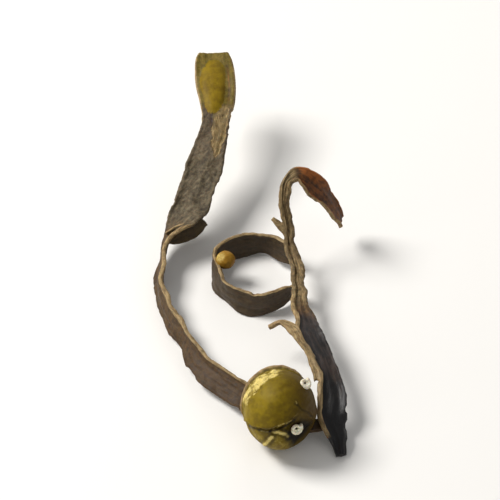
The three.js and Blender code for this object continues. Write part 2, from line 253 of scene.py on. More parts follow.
def layered_noise(points, seed, layers=3):
    """Sum of value noises, each twice as fine and half as strong as the one before."""
    total = 0.0
    for k in range(layers):
        total = total + lattice_noise(np.asarray(points) * 2.0**k + LAYER_SHIFT * k, seed + k) * 0.5**k
    return total


def blend_between(low, high, value):
    """0 below low, 1 above high, and a smooth S between them."""
    share = np.clip((value - low) / (high - low), 0.0, 1.0)
    return share * share * (3.0 - 2.0 * share)


def bell(value, middle, width, power=2):
    """1 at the middle and less to both sides: e to the minus (distance / width) to a power."""
    return np.exp(-(((value - middle) / width) ** power))


# Grids and meshes

def through_stations(rows, t):
    """Catmull-Rom curve through the rows, each a point of any number of values, read at t from 0 to 1."""
    rows = np.asarray(rows, dtype=float)
    padded = np.vstack([2 * rows[0] - rows[1], rows, 2 * rows[-1] - rows[-2]])
    place = np.clip(t, 0.0, 1.0) * (len(rows) - 1)
    span = np.minimum(place.astype(int), len(rows) - 2)
    f = (place - span)[:, None]
    a, b, c, d = (padded[span + k] for k in range(4))
    return 0.5 * (2 * b + (c - a) * f + (2 * a - 5 * b + 4 * c - d) * f**2 + (3 * b - a - 3 * c + d) * f**3)


def unit(v):
    """Each vector divided by its length."""
    return v / np.maximum(np.linalg.norm(v, axis=-1, keepdims=True), 1e-12)


def ring_faces(rows, around):
    """Quads between neighbouring rings of a closed section, each ring and the seam joined, faces outward."""
    i, k = np.meshgrid(np.arange(rows - 1), np.arange(around), indexing="ij")
    a = i * around + k
    b = i * around + (k + 1) % around
    return np.stack([a, b, b + around, a + around], axis=-1).reshape(-1, 4)


def tube_ends(steps, around):
    """A tube's first and last ring, each as one polygon."""
    return tuple(range(around)), tuple(steps * around + k for k in range(around))


def points_of(mesh):
    """Every point of a mesh, one to a row."""
    points = np.empty(len(mesh.vertices) * 3)
    mesh.vertices.foreach_get("co", points)
    return points.reshape(-1, 3)


def read_value(mesh, name):
    """A named value of every point, as an array."""
    value = np.zeros(len(mesh.vertices), dtype=np.float32)
    mesh.attributes[name].data.foreach_get("value", value)
    return value


def write_value(mesh, name, value):
    """Keeps a named value of every point: an array, or one number for all."""
    if name not in mesh.attributes:
        mesh.attributes.new(name, "FLOAT", "POINT")
    spread = np.broadcast_to(value, (len(mesh.vertices),)).astype(np.float32)
    mesh.attributes[name].data.foreach_set("value", spread)


def put_mesh(name, points, quads, ends, values):
    """A mesh object from points in millimetres, quads, end polygons, and named values for each point."""
    mesh = bpy.data.meshes.new(name)
    faces = [tuple(q) for q in quads.tolist()] + [tuple(e) for e in ends]
    mesh.from_pydata(((points - MIDDLE) * MM).tolist(), [], faces)
    for key, value in values.items():
        write_value(mesh, key, value)
    piece = bpy.data.objects.new(name, mesh)
    bpy.context.scene.collection.objects.link(piece)
    return piece


def strip_ends(around, rows):
    """Both cut ends of a blade, closed by quads between its upper and lower edge."""
    half = around // 2
    first, last = [], []
    base = (rows - 1) * around
    for k in range(half - 1):
        under = around - 1 - k
        first.append((k, under, under - 1, k + 1))
        last.append((base + k, base + k + 1, base + under - 1, base + under))
    return first + last


def blade(name, stations, phase, seed, paint, margin_bead=0.06, fibres=0.035, pucker=0.1, grain=0.02,
          lip_bead=0.0):
    """A blade as a grid: steps along its stations by places round its section.

    The middle line is the curve through the stations. Across it runs an arc whose slope grows by the roll,
    and more at the left margin by its curl. Both faces stand off that arc by half the thickness: an even
    body, a midrib as a bell curve of the place across, a bead near each margin, and a round edge. Waves of
    two lengths lift the margins, noise stretched along the blade puckers it and raises its fibres, and
    noise stretched across it crinkles it where it is grey.
    """
    rows_in = np.asarray(stations, dtype=float)
    fine = np.linspace(0, 1, CURVE_SAMPLES)
    rough = through_stations(rows_in[:, :3], fine)
    reach = np.concatenate([[0], np.cumsum(np.linalg.norm(np.diff(rough, axis=0), axis=1))])
    length = reach[-1]
    steps = max(FEWEST_ALONG, int(length / CELL))
    # Even steps in length, so that no stretch of the grid is coarser than another
    along = np.linspace(0, length, steps + 1)
    t = np.interp(along, reach, fine)
    values = through_stations(rows_in, t)
    middle = values[:, :3]
    ahead, behind = (through_stations(rows_in[:, :3], t + step) for step in (RUN_STEP, -RUN_STEP))
    run = unit(ahead - behind)
    width, turn, roll, lip, rib = (values[:, k] for k in range(3, 8))
    turn, roll, lip = (np.radians(v) for v in (turn, roll, lip))
    level = unit(np.cross(run, [0.0, 0.0, 1.0]))
    upright = np.cross(level, run)
    across = np.cos(turn)[:, None] * level + np.sin(turn)[:, None] * upright
    face = np.cross(across, run)

    # Places from the middle line out to a margin, closer together near the margin
    half = max(FEWEST_ACROSS, int(np.max(width) / CELL / 2))
    share = np.linspace(0, 1, half + 1)
    share = 0.7 * share + 0.3 * np.sin(share * math.pi / 2)
    mids = 0.5 * (share[1:] + share[:-1])
    gaps = np.diff(share)
    rows = len(along)

    def slope_at(u):
        curl = np.maximum(0, -u - CURL_START) / (1 - CURL_START)
        return 0.5 * roll[:, None] * u - lip[:, None] * curl

    def side(sign):
        slope = slope_at(sign * mids)
        step = sign * gaps * width[:, None] / 2
        path = np.cos(slope)[..., None] * across[:, None] + np.sin(slope)[..., None] * face[:, None]
        points = middle[:, None] + np.cumsum(step[..., None] * path, axis=1)
        ends = slope_at(sign * share[1:])
        normal = np.cos(ends)[..., None] * face[:, None] - np.sin(ends)[..., None] * across[:, None]
        return points, normal, np.broadcast_to(sign * share[1:], (rows, half))

    left, left_normal, left_u = side(-1)
    right, right_normal, right_u = side(1)
    sheet = np.concatenate([left[:, ::-1], middle[:, None], right], axis=1)
    normal = np.concatenate([left_normal[:, ::-1], face[:, None], right_normal], axis=1)
    u = np.concatenate([left_u[:, ::-1], np.zeros((rows, 1)), right_u], axis=1)
    run_length = np.broadcast_to(along[:, None], u.shape)

    sway = phase + MARGIN_PHASE * np.sign(u)
    turns = 2 * math.pi * run_length
    lift = WAVE_HEIGHT * u**2 * (np.sin(turns / LONG_WAVE + sway) + np.sin(turns / SHORT_WAVE - sway))
    lift += pucker * (0.35 + 0.65 * np.abs(u)) * layered_noise(sheet * 0.55, seed)
    flow = np.stack([u * width[:, None] * 1.5, run_length * 0.28, np.full(u.shape, 3.1)], axis=-1)
    lift += fibres * layered_noise(flow, seed + 5)
    lift += 0.8 * pucker * layered_noise(flow * [0.5, 0.5, 1.0] + 40.0, seed + 6, 2)
    station = np.broadcast_to((t * (len(rows_in) - 1))[:, None], u.shape)
    painted = {key: np.broadcast_to(value, u.shape) for key, value in paint(u, station).items()}
    crossing = np.stack([u * width[:, None] * 0.5 + run_length * 0.4, run_length * 1.2, 0 * u], axis=-1)
    lift += CRINKLE * painted["grey"] * layered_noise(crossing, seed + 7, 3)

    body = BLADE_HALF + MIDRIB_OUT * rib[:, None] * bell(u, 0, MIDRIB_WIDTH)
    body += margin_bead * bell(np.abs(u), 0.9, 0.1)
    knobs = 1 + 0.9 * layered_noise(np.stack([run_length * 1.4, u * 2, 0 * u], -1), seed + 41, 2)
    body += lip_bead * np.sin(lip / 2)[:, None] * knobs * bell(u, -EDGE_START, 0.13)
    rounding = np.maximum(0, (np.abs(u) - EDGE_START) / (1 - EDGE_START))
    edge = np.sqrt(np.clip(1 - rounding**2, EDGE_LEAST, 1))
    half_thick = body * edge
    # A ragged margin: the outermost points move in and out along the blade, and further in at a few nicks
    margin_place = np.stack([run_length, np.sign(u) * 5 + 0 * u, 0 * u], -1)
    ragged = 0.05 * layered_noise(margin_place * [1.9, 1, 1], seed + 9, 2)
    nicks = 0.2 * blend_between(0.55, 0.9, lattice_noise(margin_place * [0.8, 1, 1], seed + 10))
    smooth = 1 - 0.8 * painted["olive"]
    outward = smooth * (ragged - MARGIN_SETBACK - nicks) * np.sign(u) * u**6
    sheet = sheet + outward[..., None] * across[:, None]

    faces = []
    for sign, extra in ((1, 11), (-1, 23)):
        surface = sheet + normal * lift[..., None]
        skin = half_thick + edge * (
            grain * layered_noise(surface * 2.6, seed + extra, 2)
            + 0.5 * fibres * layered_noise(flow * [2.2, 1.8, 1] + extra, seed + extra + 3, 2)
        )
        faces.append(surface + sign * normal * np.maximum(skin, SKIN_LEAST)[..., None])
    upper, lower = faces
    ring = np.concatenate([upper, lower[:, ::-1]], axis=1)
    around = ring.shape[1]
    named = {
        "across": np.concatenate([u, u[:, ::-1]], axis=1).ravel(),
        "along": np.concatenate([run_length, run_length], axis=1).ravel(),
        "upper": np.concatenate([np.ones(u.shape), np.zeros(u.shape)], axis=1).ravel(),
        "wide": np.concatenate([width[:, None] + 0 * u] * 2, axis=1).ravel(),
    }
    for key, value in painted.items():
        named[key] = np.concatenate([value, value[:, ::-1]], axis=1).ravel()
    quads = ring_faces(rows, around)
    return put_mesh(name, ring.reshape(-1, 3), quads, strip_ends(around, rows), named)


def globe(name, heart, surface_at, cell_count, values):
    """A closed ball: a cube's six grids pushed out to surface_at(direction), which gives the distance."""
    n = cell_count
    spacing = np.tan(np.linspace(-1, 1, n + 1) * math.pi / 4)
    a, b = np.meshgrid(spacing, spacing, indexing="ij")
    one = np.ones_like(a)
    sides = [(one, a, b), (-one, b, a), (b, one, a), (a, -one, b), (a, b, one), (b, a, -one)]
    points = np.concatenate([np.stack(s, -1).reshape(-1, 3) for s in sides])
    i, k = np.meshgrid(np.arange(n), np.arange(n), indexing="ij")
    corner = i * (n + 1) + k
    one_side = np.stack([corner, corner + n + 1, corner + n + 2, corner + 1], -1).reshape(-1, 4)
    quads = np.concatenate([one_side + s * (n + 1) ** 2 for s in range(6)])
    _, first, where = np.unique(np.round(points, 6), axis=0, return_index=True, return_inverse=True)
    direction = unit(points[first])
    quads = where.reshape(-1)[quads]
    placed = heart + direction * surface_at(direction)[:, None]
    centre = placed[quads].mean(axis=1)
    normal = np.cross(placed[quads[:, 1]] - placed[quads[:, 0]], placed[quads[:, 3]] - placed[quads[:, 0]])
    if np.einsum("ij,ij->i", normal, centre - heart).sum() < 0:
        quads = quads[:, ::-1]
    return put_mesh(name, placed, quads, [], values(direction, placed))


def distance_to_line(spots, line):
    """Distance from each flat spot to the nearest point of an open line of straight stretches."""
    nearest = np.full(len(spots), np.inf)
    for start, end in zip(np.array(line[:-1], float), np.array(line[1:], float)):
        way = end - start
        share = np.clip(((spots - start) @ way) / (way @ way), 0.0, 1.0)
        nearest = np.minimum(nearest, np.linalg.norm(spots - start - share[:, None] * way, axis=1))
    return nearest


# The pieces of the frond

def paint_strap(u, station):
    """Main blade: purple black at first and darker still at its base with painted shade, then grey brown
    with pale ridges, reddish brown past the hook with a painted orange highlight on its upper edge and
    margins.
    """
    slant = station + 0.35 * np.abs(u)
    upper_strap = blend_between(7.2, 8.8, slant) * (1 - blend_between(14.6, 15.8, station))
    hook = blend_between(10.5, 12.0, station)
    lip_from = 0.8 - 0.2 * blend_between(3.5, 7.0, station)
    lip = blend_between(lip_from - 0.05, lip_from + 0.05, -u) * (1 - blend_between(7.6, 8.6, station))
    lip = lip * blend_between(0.8, 2.0, station)
    ridge = bell(np.abs(u), 0.62, 0.16) + 0.6 * bell(u, 0, 0.14)
    ridge = ridge + (0.1 - ridge) * hook
    margins = blend_between(0.84, 0.97, np.abs(u)) * blend_between(14.5, 16.0, station)
    near_margin = 0.35 * blend_between(0.85, 0.97, u) * (1 - upper_strap) * blend_between(4.0, 6.5, station)
    return {
        # Dark above 1 towards the cut end is painted shade, which deepens the purple black
        "dark": 1.6 - 0.6 * blend_between(0.5, 4.5, station) - blend_between(7.0, 7.8, slant),
        # Reddish brown past the hook; the orange at the hook's upper edge and along the flap's margins is a
        # painted highlight
        "rust_and_painted_light": blend_between(14.4, 15.4, station) * (
            0.72 + 0.25 * bell(station, 15.9, 1.1) * blend_between(-0.1, 0.8, -u)
            + 0.25 * blend_between(0.75, 0.95, np.abs(u))),
        "grey": 0.6 * upper_strap,
        "olive": 0.1 * upper_strap,
        "pale": np.clip(upper_strap * (0.42 + 0.32 * ridge) + 1.2 * lip + 0.4 * margins + near_margin, 0, 1),
    }


# On the left ribbon, counted in stations: the pale patch, and the notch of painted shade that widens along
# the blade
PATCH_FOOT = 18.4
PATCH_LENGTH = 3.5
NOTCH_MIDDLE = 20.3
NOTCH_FOOT = 19.8


def paint_ribbon(u, station):
    """Left ribbon: mottled brown with a pale far margin, grey past the corner, olive at the tip."""
    broad = blend_between(14.2, 15.6, station)
    tip = blend_between(21.0, 21.6, station + 0.3 * np.abs(u))
    patch_middle = 0.47 - 0.09 * (station - PATCH_FOOT)
    patch_half = 0.58 * np.sin(math.pi * np.clip((station - PATCH_FOOT) / PATCH_LENGTH, 0, 1)) ** 0.7
    waver = 0.05 * np.sin(9 * station) + 0.03 * np.sin(23 * station + 4 * u)
    inside = patch_half - np.abs(u - patch_middle + waver)
    patch = blend_between(0.0, 0.08, inside) * (1 - tip)
    patch_edge = bell(inside, 0.06, 0.06) * patch
    # The notch: a V of painted shade, darker and browner, without grey, pale or olive
    notch = bell(station, NOTCH_MIDDLE, 0.35, 4) * bell(u, -0.28, 0.06 + 0.12 * (station - NOTCH_FOOT))
    cord = blend_between(8.2, 9.5, station)
    far_margin = blend_between(0.72 - 0.2 * cord, 0.88 - 0.14 * cord, u) * (1 - broad)
    tip_margin = blend_between(0.86, 0.94, np.abs(u)) * blend_between(19.6, 20.6, station)
    grey = broad * (1 - tip) * (1 - 0.7 * patch) * (1 - notch)
    # A narrow band of painted shade on the right of the tip's bladder, darker and browner, with less olive
    shaded = tip * bell(u, 0.66, 0.11) * (1 - blend_between(23.2, 24.4, station))
    return {
        "dark": 0.38 * (1 - broad) + 0.15 * broad * (1 - tip) + 0.3 * shaded + 0.85 * notch,
        "rust_and_painted_light": 0.45 * (1 - broad) * (1 - 0.5 * blend_between(8, 10, station)) + 0.8 * shaded + 0.4 * notch,
        "grey": grey * (1 - 0.25 * blend_between(17.5, 19, station)),
        "olive": 0.1 * (1 - broad) + 0.4 * patch + (1.2 - 0.8 * shaded) * (1 - notch) * tip,
        "pale": np.clip(0.9 * far_margin + 0.42 * patch + 0.25 * patch_edge + 0.4 * tip_margin
                        + 0.3 * blend_between(0.88, 0.98, np.abs(u)), 0, 1) * (1 - notch),
    }


def paint_loop(u, station):
    """Loop branch: dark faces under a thin pale upper margin."""
    return {
        "dark": 0.85,
        "rust_and_painted_light": 0.15,
        "grey": 0.15,
        "olive": 0.1,
        "pale": np.clip(blend_between(0.86, 0.95, u) + 0.2 * blend_between(0.88, 0.97, -u), 0, 1),
    }


def paint_scrap(u, station):
    """Small torn flaps: bleached all over."""
    return {
        "dark": 0.1,
        "rust_and_painted_light": 0.1,
        "grey": 0.2,
        "olive": 0.2,
        "pale": np.clip(0.6 + 0.4 * blend_between(0.5, 0.9, np.abs(u)), 0, 1),
    }


def paint_corner(u, station):
    """The fold at the corner: dark olive brown with a pale upper margin."""
    return {
        "dark": 0.8,
        "rust_and_painted_light": 0.1,
        "grey": 0.15,
        "olive": 0.2,
        "pale": np.clip(blend_between(0.76, 0.92, -u) + 0.3 * blend_between(0.88, 0.97, u), 0, 1),
    }


# Wrinkles on the round bladder as lines: places to the right of its middle and up, in millimetres
LOBE_FOLD = [(-0.75, -2.5), (-0.2, -2.55), (0.4, -2.75), (0.95, -3.1)]
LOBE_FOLD_START = [(-2.3, -2.5), (-1.5, -2.45), (-0.75, -2.5)]
LOBE_FOLD_END = [(0.95, -3.1), (1.25, -3.6), (1.6, -4.3)]
LOBE_STREAK = [(-0.95, -3.2), (-1.35, -3.65), (-1.8, -4.1)]
CREASE_CORNER = [(-0.3, -1.95), (0.6, -1.6), (1.5, -1.15)]
SIDE_WRINKLE = [(1.85, 0.65), (2.6, 0.1), (3.3, -0.4), (3.9, -0.75)]
SIDE_SPECK = [(1.75, 0.95), (1.85, 0.7)]

# Each line's height, half width and paleness; the paleness is a pale edge with a painted highlight on it,
# and half of it sets the painted shade in the moat beside the line
WRINKLES = [
    (LOBE_FOLD, (0.4, 0.25, 0.95)),
    (LOBE_FOLD_START, (0.16, 0.16, 0.5)),
    (LOBE_FOLD_END, (0.16, 0.16, 0.3)),
    (LOBE_STREAK, (0.3, 0.28, 1.1)),
    (CREASE_CORNER, (0.2, 0.2, 0.5)),
    (SIDE_WRINKLE, (-0.16, 0.14, 0.0)),
    (SIDE_SPECK, (0.1, 0.14, 0.7)),
]


def on_bladder(spot):
    """A spot's place to the right of the bladder's middle, up and forward."""
    away = spot - BLADDER_CENTRE
    return away[..., 0], away @ UP_IN_VIEW, away @ TO_VIEWER


def above_crease(right, up):
    """Height above the crease, which bows as a parabola."""
    return up - CREASE_LOW - CREASE_BOW * (right - CREASE_TURN) ** 2


def crease_share(right):
    """How open the crease is: 1 along it, easing to 0 at its right end."""
    return 1 - blend_between(*CREASE_ENDS, right)


def dent_share(right, up):
    """How far into the dent a spot lies, from 0 to 1."""
    return bell(np.hypot(right - DENT_RIGHT, up - DENT_UP), 0, DENT_REACH, 4)


def papery_strip(spot):
    """Where the skin is papery, from 0 to 1: a ragged band inside the outline at the upper left."""
    right, up, _ = on_bladder(spot)
    reach = np.hypot(right / BLADDER_RADII[0], up / BLADDER_RADII[1])
    bearing = np.degrees(np.arctan2(up, right))
    ragged = 0.05 * layered_noise(spot * 1.3, 306, 3) - 0.0022 * np.abs(bearing - 128)
    return blend_between(0.74, 0.82, reach + ragged) * blend_between(78, 100, bearing) * (
        1 - blend_between(160, 182, bearing))


def bladder_relief(spot):
    """Height of the skin above its oval.

    A lip, a groove and a sunken fold, each a curve of the height above the crease; a dent at the lower
    right; wrinkles along lines, each a ridge with a shallow moat on both sides; a rough papery strip; and
    noise for soft dents and pores. Noise bends the crease and the lines a little.
    """
    right, up, forward = on_bladder(spot)
    bend = [0.13 * layered_noise(spot * 0.9, seed) for seed in (301, 302)]
    above = above_crease(right, up) + bend[0]
    lip = LIP_HEIGHT * bell(above, 0.25, 0.28)
    groove = GROOVE_DEPTH * bell(above, -0.1, 0.16)
    fold = FOLD_DEPTH * blend_between(0.0, 0.25, -above) * (1 - blend_between(0.8, 2.2, -above))
    relief = (lip - groove - fold) * crease_share(right) - DENT_DEPTH * dent_share(right, up)
    view = np.stack([right + bend[0], up + bend[1]], axis=-1)
    knobs = 1 + 0.5 * layered_noise(spot * 1.8, 303, 2)
    for line, (height, width, _) in WRINKLES:
        away = distance_to_line(view, line) / width
        relief = relief + height * knobs * (bell(away, 0, 1) - 0.4 * bell(away, 0, 2.2))
    relief = relief + papery_strip(spot) * (0.05 + 0.16 * layered_noise(spot * 2.0, 304, 2))
    relief = relief * blend_between(-1.0, 0.4, forward)
    folds = 0.035 * layered_noise(np.stack([right * 0.25, above * 1.3, 0 * right], axis=-1), 305, 2)
    return relief + folds + 0.04 * layered_noise(spot * 0.5, 310) + 0.008 * layered_noise(spot * 2.6, 320)


def bladder():
    """The round air bladder: an oval ball with its relief."""
    def distance(direction):
        plain = 1.0 / np.linalg.norm(direction / BLADDER_RADII, axis=1)
        return plain + bladder_relief(BLADDER_CENTRE + direction * plain[:, None])

    def values(direction, placed):
        right, up, forward = on_bladder(placed)
        front = blend_between(-1.0, 0.4, forward)
        bend = 0.13 * layered_noise(placed * 0.9, 301)
        view = np.stack([right + bend, up + bend], axis=-1)
        # Pale fold edges with a painted highlight on them, and painted shade in the moat beside each
        pale_and_highlight_lines, moat_painted_shade = 0.0, 0.0
        knobs = 1 + 0.3 * layered_noise(placed * 1.8, 303, 2)
        for line, (_, width, light) in WRINKLES:
            away = distance_to_line(view, line) / width
            pale_and_highlight_lines = np.maximum(pale_and_highlight_lines, light * knobs * bell(away, 0, 0.85, 3))
            moat_painted_shade = np.maximum(moat_painted_shade, 0.5 * light * bell(away, 1.5, 0.6))
        # Painted shade in the side wrinkle
        wrinkle = bell(distance_to_line(view, SIDE_WRINKLE), 0, 0.12)
        above = above_crease(right, up) + bend
        # The papery strip: papery skin with a painted highlight on it
        strip = papery_strip(placed) * (0.68 + 0.5 * layered_noise(placed * 1.6, 307, 2))
        # Painted shade in the dent and along the crease's groove
        dent = dent_share(right, up)
        groove = bell(above, -0.12, 0.14) * crease_share(right)
        # Painted light on the lobe below the crease
        lobe_painted_light = 0.32 * blend_between(0.3, 0.9, -above) * crease_share(right)
        return {
            "across": 0.0, "wide": 4.0, "upper": 1.0,
            "along": placed[:, 1],
            "dark": np.clip((1.25 * dent + 0.7 * groove + 0.5 * wrinkle + moat_painted_shade) * front, 0, 1),
            # Painted shade: browner towards the right
            "rust_and_painted_light": blend_between(-2.0, 4.4, right + 0.1 * up),
            "grey": 0.0,
            "olive": 1.0,
            "pale": np.clip(np.maximum(np.maximum(pale_and_highlight_lines, strip), lobe_painted_light) * front, 0, 1),
        }

    return globe("bladder", BLADDER_CENTRE, distance, BLADDER_CELLS, values)


def small_bladder(name, centre, radii, cells, seed, amber, taper=0.0, tilt_degrees=0.0):
    """A small air bladder: a ball pulled to its radii, wider towards +Y by its taper, with soft dents."""
    lean = math.radians(tilt_degrees)
    turned = np.array([[1, 0, 0], [0, math.cos(lean), -math.sin(lean)], [0, math.sin(lean), math.cos(lean)]])

    def distance(direction):
        own = direction @ turned
        plain = 1 / np.linalg.norm(own / radii, axis=1)
        for _ in range(WIDENING_ROUNDS):
            widening = 1 + taper * plain * own[:, 1] / radii[1]
            here = np.stack([radii[0] * widening, 0 * widening + radii[1], 0 * widening + radii[2]], axis=1)
            plain = 0.5 * plain + 0.5 / np.linalg.norm(own / here, axis=1)
        dents = (0.02 + 0.03 * amber) * layered_noise(own * 2.2, seed)
        return plain * (1 + dents + 0.01 * layered_noise(own * 9, seed + 4))

    def values(direction, placed):
        rise = (placed - centre) @ turned[:, 2] / radii[2]
        # Painted shade at the lower right of the tip's bladder, where it meets the blade
        shaded_foot = (1 - blend_between(0.4, 0.85, rise)) * blend_between(-0.3, 0.7, direction[:, 0])
        return {
            "across": 0.0, "wide": 3.0, "upper": 1.0,
            "along": placed[:, 1],
            "dark": 0.45 * (1 - amber) * shaded_foot,
            # Painted shade: browner on the right and lower side
            "rust_and_painted_light": 0.5 * blend_between(0.2, 1.0, direction[:, 0] - 0.4 * direction[:, 2]),
            "grey": amber,
            "olive": 1.0,
            # Painted highlight on the bud's upper left
            "pale": 0.65 * amber * blend_between(0.5, 1.3, direction @ [-0.7, -0.3, 0.9]),
        }

    return globe(name, centre, distance, cells, values)


def rim():
    """The blade's thin margin round the bladder: an arc that faces the front, a little proud of the skin."""
    steps, around = 150, 10
    share = np.linspace(0, 1, steps + 1)
    angle = np.radians(RIM_FROM_DEGREES + (RIM_TO_DEGREES - RIM_FROM_DEGREES) * share)
    outward = np.cos(angle)[:, None] * np.array([1.0, 0, 0]) + np.sin(angle)[:, None] * UP_IN_VIEW
    skin = 1.0 / np.linalg.norm(outward / BLADDER_RADII, axis=1)
    inner = skin - RIM_SUNK
    outer = inner + (RIM_SUNK + RIM_REACH) * np.sin(math.pi * np.clip(share, 1e-3, 1 - 1e-3)) ** RIM_TAPER
    outer = outer + RIM_RAGGED * layered_noise(outward * 4, 401)
    turn = np.linspace(0, 2 * math.pi, around, endpoint=False)
    reach = inner[:, None] + (outer - inner)[:, None] * (0.5 + 0.5 * np.cos(turn))
    height = RIM_HALF * np.sin(turn) - RIM_SETBACK + RIM_WAVE * layered_noise(outward * 3, 402)[:, None]
    points = BLADDER_CENTRE + reach[..., None] * outward[:, None] + height[..., None] * TO_VIEWER
    outermost = np.tile(0.5 + 0.5 * np.cos(turn), steps + 1)
    named = {"across": 0.95, "along": np.repeat(share * 14, around), "upper": 1.0, "wide": 1.0, "dark": 0.2,
             "rust_and_painted_light": 0.0, "grey": 0.1, "olive": 0.8, "pale": 0.25 + 0.5 * blend_between(0.8, 1.0, outermost)}
    first, last = tube_ends(steps, around)
    quads = ring_faces(steps + 1, around)[:, ::-1]
    return put_mesh("rim", points.reshape(-1, 3), quads, [first, last[::-1]], named)


def worm_shell(name, at, faces):
    """A tiny coiled shell: a tube whose width grows along a flat spiral, ringed by its growth lines."""
    steps, around = 160, 20
    share = np.linspace(0, 1, steps + 1)
    angle = share * SHELL_TURNS * 2 * math.pi
    radius = SHELL_RADIUS + SHELL_RADIUS_GAIN * share
    stand = SHELL_STAND + SHELL_STAND_GAIN * share
    tube = SHELL_TUBE + SHELL_TUBE_GAIN * share
    tube = tube * (1 + RING_DEPTH * np.sin(angle * RINGS_A_TURN)) * np.minimum(1, 12 * share + 0.15)
    facing = unit(np.array(faces, float))
    flat_x = unit(np.cross(facing, [0.0, 0.3, 1.0]))
    flat_y = np.cross(facing, flat_x)
    outward = np.cos(angle)[:, None] * flat_x + np.sin(angle)[:, None] * flat_y
    middle = np.array(at) + radius[:, None] * outward + stand[:, None] * facing
    turn = np.linspace(0, 2 * math.pi, around, endpoint=False)
    points = middle[:, None] + tube[:, None, None] * (
        np.cos(turn)[:, None] * outward[:, None] + np.sin(turn)[:, None] * facing)
    first, last = tube_ends(steps, around)
    named = {"along": np.repeat(angle, around)}
    piece = put_mesh(name, points.reshape(-1, 3), ring_faces(steps + 1, around), [first[::-1], last], named)
    face_out(piece)
    return piece


def face_out(piece):
    """Turns a closed mesh the right way round if its volume comes out negative."""
    mesh = piece.data
    points = points_of(mesh)
    mesh.calc_loop_triangles()
    corners = np.empty(len(mesh.loop_triangles) * 3, dtype=np.int32)
    mesh.loop_triangles.foreach_get("vertices", corners)
    a, b, c = (points[corners.reshape(-1, 3)[:, k]] for k in range(3))
    if np.einsum("ij,ij->i", a, np.cross(b, c)).sum() < 0:
        mesh.flip_normals()


def shade_smooth(piece):
    """Smooth shading on every face."""
    piece.data.polygons.foreach_set("use_smooth", np.ones(len(piece.data.polygons), dtype=bool))


def join_with(body, other, operation):
    """Boolean of two closed pieces, its result put in body and the other removed."""
    change = body.modifiers.new("join", "BOOLEAN")
    change.operation = operation
    change.solver = "MANIFOLD"
    change.object = other
    graph = bpy.context.evaluated_depsgraph_get()
    joined = body.evaluated_get(graph)
    made = bpy.data.meshes.new_from_object(joined, preserve_all_data_layers=True, depsgraph=graph)
    body.modifiers.clear()
    old = body.data
    body.data = made
    bpy.data.meshes.remove(old)
    bpy.data.objects.remove(other)


VALUE_NAMES = ("across", "along", "upper", "wide", "dark", "rust_and_painted_light", "grey", "olive", "pale")
FILL_ROUNDS = 4

# Fillets where blades meet: the distance up to which they act in full, the one past which they don't, their
# rounds, and the share of the way to its neighbours' middle that a point goes in a round
FILLET_FULL = 0.1
FILLET_REACH = 0.55
FILLET_ROUNDS = 14
FILLET_PULL = 0.6

# Corners of the block that cuts the frond off at the surface
UNDER_LOW = (-40, -40, -10)
UNDER_HIGH = (40, 90, 0)


def soften_joins(piece):
    """Fillets where blades meet, and values for the points that the joining added.

    Points near a join are moved towards the middle of their neighbours in rounds, less with distance.
    """
    mesh = piece.data
    count = len(mesh.vertices)
    points = points_of(mesh) / MM
    edges = np.empty(len(mesh.edges) * 2, dtype=np.int64)
    mesh.edges.foreach_get("vertices", edges)
    edges = edges.reshape(-1, 2)
    known = read_value(mesh, "known") > 0.5
    both = np.concatenate([edges, edges[:, ::-1]])

    for name in VALUE_NAMES:
        value = read_value(mesh, name).astype(float)
        sure = known.copy()
        for _ in range(FILL_ROUNDS):
            total = np.bincount(both[:, 0], value[both[:, 1]] * sure[both[:, 1]], count)
            amount = np.bincount(both[:, 0], sure[both[:, 1]].astype(float), count)
            fill = ~sure & (amount > 0)
            value[fill] = total[fill] / amount[fill]
            sure = sure | fill
        write_value(mesh, name, value)

    tree = KDTree(int((~known).sum()))
    for k, spot in enumerate(points[~known]):
        tree.insert(spot, k)
    tree.balance()
    distance = np.array([tree.find(spot)[2] for spot in points])
    weight = 1 - blend_between(FILLET_FULL, FILLET_REACH, distance)
    amount = np.maximum(np.bincount(both[:, 0], minlength=count), 1)
    for _ in range(FILLET_ROUNDS):
        middle = np.stack([np.bincount(both[:, 0], points[both[:, 1], k], count) for k in range(3)], axis=1)
        points = points + FILLET_PULL * weight[:, None] * (middle / amount[:, None] - points)
    mesh.vertices.foreach_set("co", (points * MM).ravel())
    mesh.update()


def block(name, low, high):
    """A plain box between two corners."""
    (x0, y0, z0), (x1, y1, z1) = low, high
    corners = np.array([[x, y, z] for x in (x0, x1) for y in (y0, y1) for z in (z0, z1)])
    quads = np.array([[0, 1, 3, 2], [4, 6, 7, 5], [0, 4, 5, 1], [2, 3, 7, 6], [0, 2, 6, 4], [1, 5, 7, 3]])
    return put_mesh(name, corners, quads, [], {})


